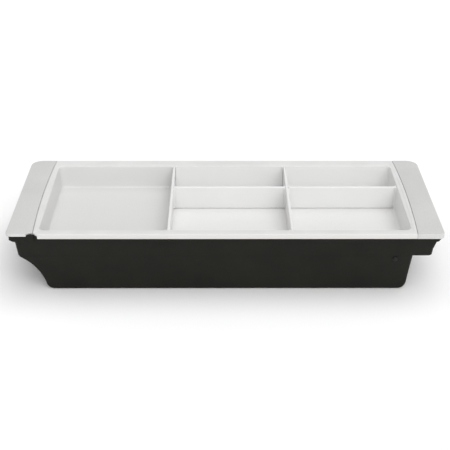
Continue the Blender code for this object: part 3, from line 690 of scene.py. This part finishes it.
for side, at in ((-1, "front"), (1, "rear")):
    stud = piece(f"{at}_stud_turned", onto_wall(wall_stud(), side))
    stud.data.materials.append(black_oxide)
    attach(stud, "drawer")
    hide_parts(f"{at}_wall_stud")

    nut = piece(f"{at}_push_nut_pressed", onto_wall(push_nut(), side))
    nut.data.materials.append(zinc_steel)
    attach(nut, "drawer")
    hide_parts(f"{at}_push_nut")

# ------------------------------------------------------------------ money tray
# One pale polystyrene moulding, 2.2 mm thick, that lifts out. Its rim rests on the tub's flange
# and turns down over it front and back. A low bead runs along each bowed short edge.
TRAY_HALF = HALF_LENGTH - PLATE_WIDTH - GAP
TRAY_WALL, TRAY_DRAFT, POCKET_DEEP, BACK_RIM = 0.0022, radians(3.0), 0.029, 0.017
POCKET_FLOOR = DECK_TOP - POCKET_DEEP
TRAY_BASE = POCKET_FLOOR - TRAY_WALL
FLOOR_ROUND, MOUTH_ROUND, RIM_EDGE, LIP_EDGE, UNDER_FILLET = 0.003, 0.0012, 0.0012, 0.0004, 0.0006
TRAY_CORNER = BACK_CORNER - LIP_THICK - TUB_WALL
NOTCH_CUT, CUT_MITRE = 0.005, 0.4    # the cut corner beside the key, and how fast it moves inwards
BEAD_IN = RIM_EDGE + 0.003           # foot of a bead, from the tray's short edge
BEAD_END, BEAD_FADE = 0.006, 0.002   # a bead stops short of the long edges and sinks to nothing
BEAD_PROFILE = ((0.0002, 0.0), (0.0, 0.12), (-0.0005, 0.6), (-0.001, 0.92), (-0.0015, 1.0),
                (RIM_EDGE - BEAD_IN, 1.0))   # across from its foot, and share of its height
RUNNING_GAP = 0.0005                 # between pieces that slide past each other
BASIN_RIGHT = step_wall(TRAY_BASE) - TUB_WALL - 2 * RUNNING_GAP + (DECK_TOP - TRAY_BASE) * tan(TRAY_DRAFT)
BASIN_FRONT = side_wall(FLANGE_TOP) - TUB_WALL - 2 * GAP
BASIN_BACK = HALF_DEPTH - BACK_RIM + TRAY_WALL


def basin(z, inset=0.0):
    """Half length, front and back of the tray's basin at height z."""
    down = DECK_TOP - z
    half, back = (edge - down * tan(TRAY_DRAFT) - inset for edge in (BASIN_RIGHT, BASIN_BACK))
    return half, -(BASIN_FRONT - down * tan(SIDE_DRAFT)) + inset, back


# The skin runs in five stretches: right edge, rear edge, left edge, cut corner and front edge.
# Where two meet, each has its own copy of the corner, because only the long edges turn down.
RIGHT, REAR, LEFT, CUT, FRONT = range(5)
HALF_CORNER = 6                      # steps round half a corner of the basin
INNER_CORNER = TRAY_CORNER - TRAY_WALL
MOUTH_CORNER = INNER_CORNER + MOUTH_ROUND


def shares(count, first, last):
    """Places along an edge of the rim, 0 to 1, bunched at its ends to face the mouth's corners."""
    inner = count - 2 * HALF_CORNER - 1
    near, far = rising(0.0, first, HALF_CORNER), rising(1 - last, 1.0, HALF_CORNER)
    return near + rising(first, 1 - last, inner)[1:-1] + far


mouth_half, mouth_front, mouth_back = basin(DECK_TOP, TRAY_WALL - MOUTH_ROUND)
end_in = TRAY_HALF - mouth_half + MOUTH_CORNER
front_in = (HALF_DEPTH + mouth_front + MOUTH_CORNER) / (2 * HALF_DEPTH)
back_in = (HALF_DEPTH - mouth_back + MOUTH_CORNER) / (2 * HALF_DEPTH)
SHARES = {RIGHT: shares(29, front_in, back_in),
          REAR: shares(41, end_in / (2 * TRAY_HALF), end_in / (2 * TRAY_HALF)),
          LEFT: shares(29, back_in, front_in - NOTCH_CUT / (2 * HALF_DEPTH)), CUT: [0.0, 0.5, 1.0],
          FRONT: shares(41, (end_in - NOTCH_CUT) / (2 * TRAY_HALF), end_in / (2 * TRAY_HALF))}


def basin_points(z, inset, radius):
    """Rounded oblong of the basin, split into the five stretches at the corners' middles."""
    half, front, back = basin(z, inset)

    def stretch(first, last, first_end, last_start, places):
        (ax, ay, turn), (bx, by, end) = first, last
        points = arc(ax, ay, radius, turn, first_end, HALF_CORNER)
        tail = arc(bx, by, radius, last_start, end, HALF_CORNER)
        a, b = Vector(points[-1]), Vector(tail[0])
        inner = len(places) - 2 * HALF_CORNER - 1
        return points + [tuple(a.lerp(b, (i + 1) / inner)) for i in range(inner - 1)] + tail

    rear_right = (half - radius, back - radius, pi / 4)
    rear_left = (radius - half, back - radius, 3 * pi / 4)
    front_left = (radius - half, front + radius, 5 * pi / 4)
    front_right = (half - radius, front + radius, 7 * pi / 4)
    left = stretch(rear_left, front_left, pi, pi, SHARES[LEFT])
    stretches = [stretch(front_right, rear_right, 2 * pi, 0.0, SHARES[RIGHT]),
                 stretch(rear_right, rear_left, pi / 2, pi / 2, SHARES[REAR]),
                 left, left[-1:] * len(SHARES[CUT]),
                 stretch(front_left, front_right, 1.5 * pi, 1.5 * pi, SHARES[FRONT])]
    return [[Vector((x, y, z)) for x, y in points] for points in stretches]


def rim_points(out, drop, lip_drop=None, lift=0.0):
    """The rim's outline drawn in by out, drop below the deck; the long edges may go lower."""
    low = drop if lip_drop is None else lip_drop
    y = HALF_DEPTH - out
    edge = TRAY_HALF - out

    def bow(at):
        return edge + EDGE_BOW - BOW_RADIUS + sqrt(BOW_RADIUS ** 2 - at ** 2)

    def rise(at):
        share = min(max((HALF_DEPTH - BEAD_END - abs(at)) / BEAD_FADE, 0.0), 1.0)
        return lift * share * share * (3 - 2 * share)

    def short_edge(way, start, end, places):
        levels = [start + (end - start) * share for share in places]
        return [Vector((way * bow(at), at, DECK_TOP - drop + rise(at))) for at in levels]

    def long_edge(start, end, y, places):
        return [Vector((start + (end - start) * share, y, DECK_TOP - low)) for share in places]

    cut_y, cut_x = -HALF_DEPTH + NOTCH_CUT, -TRAY_HALF + NOTCH_CUT
    left_end = Vector((-bow(cut_y), cut_y + out * CUT_MITRE))
    front_end = Vector((cut_x + out * CUT_MITRE, -y))
    return [short_edge(1, -y, y, SHARES[RIGHT]), long_edge(bow(y), -bow(y), y, SHARES[REAR]),
            short_edge(-1, y, left_end.y, SHARES[LEFT]),
            [Vector((*left_end.lerp(front_end, share), DECK_TOP - drop)) for share in SHARES[CUT]],
            long_edge(front_end.x, bow(y), -y, SHARES[FRONT])]


tray_skin = []
for inset, rise in rounding(FLOOR_ROUND, 6):
    tray_skin.append(basin_points(POCKET_FLOOR + rise, TRAY_WALL + inset, INNER_CORNER))
for z in rising(POCKET_FLOOR + FLOOR_ROUND, DECK_TOP - MOUTH_ROUND, 4)[1:]:
    tray_skin.append(basin_points(z, TRAY_WALL, INNER_CORNER))
for drop, out in rounding(MOUTH_ROUND, 5)[1:]:
    tray_skin.append(basin_points(DECK_TOP - drop, TRAY_WALL - out, INNER_CORNER + out))
for across, lift in BEAD_PROFILE:
    tray_skin.append(rim_points(BEAD_IN + across, 0.0, lift=BEAD_RISE * lift))
for out, drop in rounding(RIM_EDGE, 5)[1:]:
    tray_skin.append(rim_points(out, drop, lift=BEAD_RISE * (1 - drop / RIM_EDGE)))
for out, drop, lip_drop in ((0.0, DECK_THICK - GAP, LIP_DROP - LIP_EDGE), (LIP_EDGE, DECK_THICK, LIP_DROP),
                            (LIP_THICK - LIP_EDGE, DECK_THICK, LIP_DROP),
                            (LIP_THICK, DECK_THICK, LIP_DROP - LIP_EDGE),
                            (LIP_THICK, DECK_THICK, DECK_THICK + UNDER_FILLET),
                            (LIP_THICK + UNDER_FILLET, DECK_THICK, DECK_THICK)):
    tray_skin.append(rim_points(out, drop, lip_drop))
for z in (PLATE_BASE, (PLATE_BASE + TRAY_BASE) / 2, TRAY_BASE + FLOOR_ROUND):
    tray_skin.append(basin_points(z, 0.0, TRAY_CORNER))
for rise, inset in rounding(FLOOR_ROUND, 5)[1:]:
    tray_skin.append(basin_points(TRAY_BASE + rise, inset, TRAY_CORNER))

tray_shell = moulding([[point for stretch in rows for point in stretch] for rows in tray_skin])
bmesh.ops.dissolve_degenerate(tray_shell, dist=1e-6, edges=tray_shell.edges)
money_tray = piece("money_tray_moulding", tray_shell)

# ------------------------------------------------------------------ guide ribs
# Pairs of small vertical ribs, moulded with the tray and the long dividers, form the slots that
# the dividers drop into.
DIVIDER_THICK, DIVIDER_TOP = 0.003, DECK_TOP - 0.001
NOTE_X, MIDDLE_X, CROSS_Y = -0.0625, 0.0740, 0.0250
RIB_WIDE, RIB_DEEP, RIB_SUNK, RIB_FOOT, RIB_SOFT = 0.0016, 0.0020, 0.0006, 0.0008, 0.0003

rib_tree, given = growing("guide_rib_pairs", (
    ("Rib width", "Float"), ("Rib depth", "Float"), ("Slot", "Float"), ("Finish", "Material")))
turn = add(rib_tree, "GeometryNodeInputNamedAttribute", data_type="FLOAT_VECTOR", Name="turn").outputs[0]
tall = add(rib_tree, "GeometryNodeInputNamedAttribute", data_type="FLOAT", Name="tall").outputs[0]
size = add(rib_tree, "ShaderNodeCombineXYZ", [(given["Rib width"], "X"), (given["Rib depth"], "Y")], Z=1.0)
rib = add(rib_tree, "GeometryNodeMeshCube", [(size.outputs[0], "Size")])
reach = add(rib_tree, "ShaderNodeMath", [(given["Slot"], 0), (given["Rib width"], 1)], operation="ADD")
pair = add(rib_tree, "GeometryNodeJoinGeometry")
for half in (0.5, -0.5):
    shift = add(rib_tree, "ShaderNodeMath", [(reach.outputs[0], 0)], [(1, half)], operation="MULTIPLY")
    aside = add(rib_tree, "ShaderNodeCombineXYZ", [(shift.outputs[0], "X")])
    one = add(rib_tree, "GeometryNodeTransform",
              [(rib.outputs[0], "Geometry"), (aside.outputs[0], "Translation")])
    rib_tree.links.new(one.outputs[0], pair.inputs[0])
scale = add(rib_tree, "ShaderNodeCombineXYZ", [(tall, "Z")], X=1.0, Y=1.0)
placed = add(rib_tree, "GeometryNodeInstanceOnPoints", [
    (given["Geometry"], "Points"), (pair.outputs[0], "Instance"), (turn, "Rotation"),
    (scale.outputs[0], "Scale")])
made_real(rib_tree, placed, given["Finish"])


def guide_ribs(name, slots, material):
    """Rib pairs at slots of (foot, head, turn about Z): each pair leans from its foot to its head."""
    points = bmesh.new()
    turns = points.verts.layers.float_vector.new("turn")
    heights = points.verts.layers.float.new("tall")
    for foot_at, head_at, about in slots:
        rise = head_at - foot_at
        flat_way = Matrix.Rotation(-about, 3, "Z") @ rise
        lean = asin(flat_way.y / rise.length)
        vert = points.verts.new((foot_at + head_at) / 2)
        vert[turns] = (-lean, 0.0, about)
        vert[heights] = rise.length
    obj = grown(name, rib_tree, {"Rib width": RIB_WIDE, "Rib depth": RIB_DEEP + RIB_SUNK,
                                 "Slot": DIVIDER_THICK + 2 * GAP, "Finish": material}, points)
    soft = obj.modifiers.new("soft", "BEVEL")
    soft.width, soft.segments, soft.limit_method = RIB_SOFT, 2, "ANGLE"
    settle(obj)
    return obj


# Pale high-impact polystyrene from a polished mould: a soft satin shine with faint flow clouding.
# Painted light: the insides of the coin pockets are painted lighter than the rim to lift their
# shade, and the note pocket a little darker as painted shade. The turned-down edges carry painted
# shade that tones down their light. The floors are scuffed by coins; the hair-fine scuffs are
# drawn about 0.4 mm wide.
PALE, CLOUDED, SCUFFED = linear("dadad9"), linear("d3d3d1"), linear("cacac8")
POCKET_PAINTED_LIGHT, NOTE_POCKET_PAINTED_SHADE, LIP_PAINTED_SHADE = linear("e4e4e3"), linear("d5d5d4"), linear("cecdca")
tray_pale, tree, shader = finish_of("polished_pale_polystyrene", IOR=1.5)
place = add(tree, "ShaderNodeTexCoord").outputs["Object"]
cloud = add(tree, "ShaderNodeTexNoise", [(place, "Vector")], Scale=22.0, Detail=4.0, Distortion=0.8)
tone = add(tree, "ShaderNodeMapRange", [(cloud.outputs["Fac"], "Value")], From_Min=0.35, From_Max=0.7)
colour = add(tree, "ShaderNodeMix", [(tone.outputs[0], "Factor")],
             [(COLOUR_A, PALE), (COLOUR_B, CLOUDED)], data_type="RGBA")
across = add(tree, "ShaderNodeSeparateXYZ", [(place, "Vector")])
# Painted light below the rim: the coin pockets lighter to lift their shade, the note pocket darker as
# painted shade.
inside = add(tree, "ShaderNodeMapRange", [(across.outputs["Z"], "Value")], From_Min=DECK_TOP - 0.003,
             From_Max=DECK_TOP - 0.0004, To_Min=0.85, To_Max=0.0)
note_side = add(tree, "ShaderNodeMapRange", [(across.outputs["X"], "Value")], From_Min=NOTE_X - 0.001,
                From_Max=NOTE_X + 0.001, To_Min=1.0, To_Max=0.0)
painted_pocket_light_and_shade = add(tree, "ShaderNodeMix", [(note_side.outputs[0], "Factor")],
             [(COLOUR_A, POCKET_PAINTED_LIGHT), (COLOUR_B, NOTE_POCKET_PAINTED_SHADE)], data_type="RGBA")
with_painted_pocket_light = add(tree, "ShaderNodeMix", [(inside.outputs[0], "Factor"), (colour.outputs[MIXED], COLOUR_A),
                                      (painted_pocket_light_and_shade.outputs[MIXED], COLOUR_B)], data_type="RGBA")
# Painted shade on the turned-down edges, toning down the light they catch.
outwards = add(tree, "ShaderNodeMath", [(across.outputs["Y"], 0)], operation="ABSOLUTE")
on_lip = add(tree, "ShaderNodeMapRange", [(outwards.outputs[0], "Value")], From_Min=HALF_DEPTH - 0.0012,
             From_Max=HALF_DEPTH - 0.0002, To_Max=0.8)
with_painted_lip_shade = add(tree, "ShaderNodeMix", [(on_lip.outputs[0], "Factor"), (with_painted_pocket_light.outputs[MIXED], COLOUR_A)],
              [(COLOUR_B, LIP_PAINTED_SHADE)], data_type="RGBA")
stretch_scuffs = add(tree, "ShaderNodeMapping", [(place, "Vector")], Scale=(2500.0, 160.0, 160.0),
                     Rotation=(0.0, 0.0, 0.5))
scuffs = add(tree, "ShaderNodeTexNoise", [(stretch_scuffs.outputs[0], "Vector")], Scale=1.0, Detail=2.0)
lines = add(tree, "ShaderNodeMapRange", [(scuffs.outputs["Fac"], "Value")], From_Min=0.62, From_Max=0.72)
on_floor = add(tree, "ShaderNodeMapRange", [(across.outputs["Z"], "Value")], From_Min=POCKET_FLOOR + 0.0005,
               From_Max=POCKET_FLOOR + 0.004, To_Min=0.35, To_Max=0.04)
scuffed = add(tree, "ShaderNodeMath", [(lines.outputs[0], 0), (on_floor.outputs[0], 1)],
              operation="MULTIPLY")
marked = add(tree, "ShaderNodeMix", [(scuffed.outputs[0], "Factor"), (with_painted_lip_shade.outputs[MIXED], COLOUR_A)],
             [(COLOUR_B, SCUFFED)], data_type="RGBA")
gloss = add(tree, "ShaderNodeMapRange", [(scuffed.outputs[0], "Value")], To_Min=0.34, To_Max=0.7)
ripple = add(tree, "ShaderNodeTexNoise", [(place, "Vector")], Scale=350.0, Detail=2.0)
bump = add(tree, "ShaderNodeBump", [(ripple.outputs["Fac"], "Height")], Strength=0.12, Distance=0.00008)
shown_by(tree, shader, Base_Color=marked.outputs[MIXED], Roughness=gloss.outputs[0],
         Normal=bump.outputs[0])

tray_slots = []
for x in (NOTE_X, MIDDLE_X):
    for index, inward in ((1, 1.0), (2, -1.0)):
        middle_in = inward * (RIB_DEEP - RIB_SUNK) / 2
        foot_at, head_at = (Vector((x, basin(z, TRAY_WALL)[index] + middle_in, z))
                            for z in (POCKET_FLOOR - RIB_FOOT, DIVIDER_TOP))
        tray_slots.append((foot_at, head_at, 0.0))
foot_at, head_at = (Vector((basin(z, TRAY_WALL)[0] - (RIB_DEEP - RIB_SUNK) / 2, CROSS_Y, z))
                    for z in (POCKET_FLOOR - RIB_FOOT, DIVIDER_TOP))
tray_slots.append((foot_at, head_at, pi / 2))
money_tray.data.materials.append(tray_pale)
cut_or_join(money_tray, guide_ribs("tray_ribs", tray_slots, tray_pale), "UNION")
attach(money_tray, "tray")
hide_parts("money_tray")

# ------------------------------------------------------------------ dividers
# Four polystyrene dividers, 3 mm thick, that slide down into the slots: two from front to back
# and two across. Their top edges are rounded and polished, so they catch the light.
DIVIDER_EDGE = 0.0009
CLEAR = TRAY_WALL + RUNNING_GAP
DIVIDER_LOW, DIVIDER_BEND = POCKET_FLOOR + GAP, POCKET_FLOOR + FLOOR_ROUND + GAP


def divider(name, outline, across, at):
    """A divider of this outline with rounded edges, whose middle stands across an axis at a place."""
    edges = [(inset, rise - DIVIDER_THICK / 2) for inset, rise in rounding(DIVIDER_EDGE, 4)]
    edges += [(inset, -level) for inset, level in reversed(edges)]
    rings = []
    for inset, level in edges:
        rings.append([Vector((at + level, p.x, p.y)) if across == "X" else Vector((p.x, at + level, p.y))
                      for p in drawn_in(outline, inset)])
    return piece(name, moulding(rings))


right_end, front_end, back_end = (
    [(basin(z, CLEAR + inset)[index], z)
     for z, inset in ((DIVIDER_LOW, FLOOR_ROUND), (DIVIDER_BEND, 0.0), (DIVIDER_TOP, 0.0))]
    for index in range(3))
long_outline = front_end[:1] + back_end + front_end[:0:-1]

# Polystyrene painted a shade paler than the tray, with faint clouding: painted light that lifts the
# shade inside the pockets. It is polished by hands and notes along the top.
PAINTED_LIGHT_PALE, CLOUDED_PAINTED_LIGHT_PALE = linear("e6e6e5"), linear("dfdfde")
divider_pale, tree, shader = finish_of("polished_divider_polystyrene", IOR=1.5)
place = add(tree, "ShaderNodeTexCoord").outputs["Object"]
cloud = add(tree, "ShaderNodeTexNoise", [(place, "Vector")], Scale=30.0, Detail=4.0)
colour = add(tree, "ShaderNodeMix", [(cloud.outputs["Fac"], "Factor")],
             [(COLOUR_A, PAINTED_LIGHT_PALE), (COLOUR_B, CLOUDED_PAINTED_LIGHT_PALE)], data_type="RGBA")
height = add(tree, "ShaderNodeSeparateXYZ", [(place, "Vector")]).outputs["Z"]
gloss = add(tree, "ShaderNodeMapRange", [(height, "Value")], From_Min=DIVIDER_TOP - 0.004,
            From_Max=DIVIDER_TOP, To_Min=0.38, To_Max=0.22)
ripple = add(tree, "ShaderNodeTexNoise", [(place, "Vector")], Scale=350.0, Detail=2.0)
bump = add(tree, "ShaderNodeBump", [(ripple.outputs["Fac"], "Height")], Strength=0.1, Distance=0.00008)
shown_by(tree, shader, Base_Color=colour.outputs[MIXED], Roughness=gloss.outputs[0],
         Normal=bump.outputs[0])

for name, x, faces in (("note_divider", NOTE_X, (1,)), ("middle_divider", MIDDLE_X, (1, -1))):
    board = divider(f"{name}_moulding", long_outline, "X", x)
    board.data.materials.append(divider_pale)
    slots = []
    for face_side in faces:
        middle_x = x + face_side * (DIVIDER_THICK + RIB_DEEP - RIB_SUNK) / 2
        slots.append((Vector((middle_x, CROSS_Y, DIVIDER_LOW + RUNNING_GAP)),
                      Vector((middle_x, CROSS_Y, DIVIDER_TOP - RUNNING_GAP)), pi / 2))
    cut_or_join(board, guide_ribs(f"{name}_ribs", slots, divider_pale), "UNION")
    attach(board, name)
    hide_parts(name)

board_gap = DIVIDER_THICK / 2 + RUNNING_GAP
open_end = [(MIDDLE_X - board_gap, DIVIDER_LOW), (MIDDLE_X - board_gap, DIVIDER_TOP)]
for name, start, end in (("centre_cross_divider", NOTE_X + board_gap, open_end),
                         ("right_cross_divider", MIDDLE_X + board_gap, right_end)):
    board = divider(f"{name}_moulding", [(start, DIVIDER_LOW)] + end + [(start, DIVIDER_TOP)], "Y", CROSS_Y)
    board.data.materials.append(divider_pale)
    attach(board, name)
    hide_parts(name)

# ------------------------------------------------------------------ floor and light
# A plain pale floor that runs out of sight, an even studio that is brightest round the horizon,
# and two very soft lamps, one overhead and one high in front, which reach into the pockets.
FLOOR_HALF = 60.0
floor = bpy.data.objects.new("studio_floor", bpy.data.meshes.new("studio_floor"))
floor.data.from_pydata([(x * FLOOR_HALF, y * FLOOR_HALF, 0)
                        for x, y in ((-1, -1), (1, -1), (1, 1), (-1, 1))], [], [(0, 1, 2, 3)])
floor_white, tree, shader = finish_of("pale_studio_floor", Base_Color=linear("fcfcfc"), Roughness=0.9,
                                      IOR=1.2)
floor.data.materials.append(floor_white)
bpy.context.scene.collection.objects.link(floor)

HORIZON_LIGHT, ZENITH_LIGHT = 0.95, 0.25
world = bpy.data.worlds.new("studio_world")
world.use_nodes = True
direction = add(world.node_tree, "ShaderNodeTexCoord").outputs["Generated"]
upward = add(world.node_tree, "ShaderNodeSeparateXYZ", [(direction, "Vector")])
fade = add(world.node_tree, "ShaderNodeMapRange", [(upward.outputs["Z"], "Value")],
           To_Min=HORIZON_LIGHT, To_Max=ZENITH_LIGHT)
backdrop = world.node_tree.nodes["Background"]
backdrop.inputs["Color"].default_value = (1.0, 1.0, 1.0, 1.0)
world.node_tree.links.new(fade.outputs[0], backdrop.inputs["Strength"])
bpy.context.scene.world = world

for name, way, strength, spread in (("overhead_light", (0.2, 0.1, 1.0), 1.15, 60.0),
                                    ("front_light", (0.25, -1.0, 0.80), 1.40, 50.0)):
    lamp = bpy.data.objects.new(name, bpy.data.lights.new(name, "SUN"))
    lamp.data.energy, lamp.data.angle = strength, radians(spread)
    lamp.rotation_euler = (-Vector(way)).to_track_quat("-Z", "Y").to_euler()
    bpy.context.scene.collection.objects.link(lamp)
bpy.context.scene.view_settings.view_transform = "Standard"
